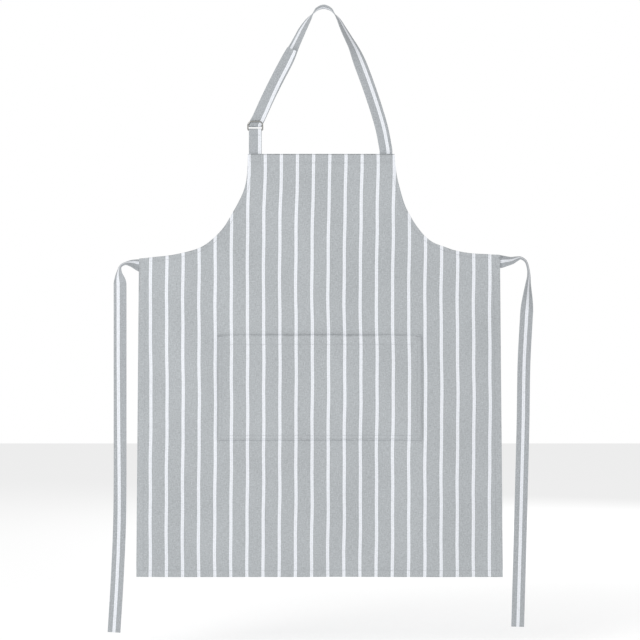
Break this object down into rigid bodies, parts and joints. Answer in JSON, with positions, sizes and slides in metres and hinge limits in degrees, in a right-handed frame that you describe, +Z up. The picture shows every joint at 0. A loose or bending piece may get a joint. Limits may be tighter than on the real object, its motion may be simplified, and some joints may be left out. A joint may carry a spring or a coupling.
{
  "type": "butcher apron",
  "caption": "Bib apron of striped cotton drill with a wide front pocket, a neck strap adjusted by a pair of D-rings, and two long waist ties, hanging by its neck loop.",
  "frame": {"origin": "inside of the top of the neck loop, where a peg or a neck holds the apron", "axes": "+Z up, the front of the apron faces -Y, +X to the right of someone who looks at the front"},
  "size_m": [0.8289, 0.0283, 1.2194],
  "materials": {
    "drill": "grey cotton drill with narrow white woven stripes, matt, slightly heathered",
    "tape": "the same striped drill folded and stitched into a flat tape, matt",
    "thread": "light grey spun sewing thread, slight sheen",
    "nickel": "nickel-plated steel wire, polished with fine wear"
  },
  "bodies": {
    "neck_loop": {"neck_strap": "tape", "strap_turn": "tape", "ring_tab": "tape", "ring_tab_bar_thread": "thread"},
    "panel": {"apron_panel": "drill", "bib_hem": "drill", "bottom_hem": "drill", "left_armhole_hem": "drill", "right_armhole_hem": "drill", "left_side_hem": "drill", "right_side_hem": "drill", "bib_hem_thread": "thread", "bottom_hem_thread": "thread", "left_armhole_thread": "thread", "right_armhole_thread": "thread", "left_side_thread": "thread", "right_side_thread": "thread", "pocket_patch": "drill", "pocket_mouth_hem": "drill", "pocket_turned_edge": "drill", "pocket_seam_thread_outer": "thread", "pocket_seam_thread_inner": "thread", "pocket_mouth_thread": "thread", "left_pocket_bartack": "thread", "right_pocket_bartack": "thread", "neck_strap_sewn_end": "tape", "ring_tab_sewn_front": "tape", "ring_tab_sewn_back": "tape", "left_tie_sewn_end": "tape", "right_tie_sewn_end": "tape", "neck_strap_box_stitch": "thread", "ring_tab_box_stitch": "thread", "left_tie_box_stitch": "thread", "right_tie_box_stitch": "thread"},
    "front_ring": {"d_ring_front": "nickel"},
    "back_ring": {"d_ring_back": "nickel"},
    "tail_slider": {"strap_tail": "tape", "strap_tail_end_hem": "tape"},
    "left_tie_base": {"left_tie_root": "tape"},
    "left_tie_end": {"left_tie_tail": "tape", "left_tie_end_hem": "tape"},
    "right_tie_base": {"right_tie_root": "tape"},
    "right_tie_end": {"right_tie_tail": "tape", "right_tie_end_hem": "tape"}
  },
  "joints": [
    {"name": "bib_fold", "type": "hinge", "parent": "neck_loop", "child": "panel", "pos_m": [-0.006, 0.0004, -0.286], "axis": [-1, 0, 0], "range_deg": [-90, 150]},
    {"name": "front_ring_lift", "type": "hinge", "parent": "neck_loop", "child": "front_ring", "pos_m": [-0.1335, 0.0025, -0.24], "axis": [1, 0, 0], "range_deg": [0, 60]},
    {"name": "back_ring_tilt", "type": "hinge", "parent": "neck_loop", "child": "back_ring", "pos_m": [-0.1335, 0.0054, -0.24], "axis": [1, 0, 0], "range_deg": [-0.8, 0.5]},
    {"name": "strap_adjust", "type": "slide", "parent": "neck_loop", "child": "tail_slider", "axis": [0.4246, -0.0814, 0.9017], "range_m": [0, 0.028]},
    {"name": "left_tie_swing", "type": "hinge", "parent": "panel", "child": "left_tie_base", "pos_m": [-0.3605, 0.003, -0.4995], "axis": [0, 0, -1], "range_deg": [-80, 90]},
    {"name": "left_tie_lift", "type": "hinge", "parent": "left_tie_base", "child": "left_tie_end", "pos_m": [-0.39242, 0.003, -0.50212], "axis": [0, 1, 0], "range_deg": [0, 95]},
    {"name": "right_tie_swing", "type": "hinge", "parent": "panel", "child": "right_tie_base", "pos_m": [0.3485, 0.003, -0.4995], "axis": [0, 0, 1], "range_deg": [-80, 90]},
    {"name": "right_tie_lift", "type": "hinge", "parent": "right_tie_base", "child": "right_tie_end", "pos_m": [0.38963, 0.003, -0.49346], "axis": [0, -1, 0], "range_deg": [0, 95]}
  ]
}
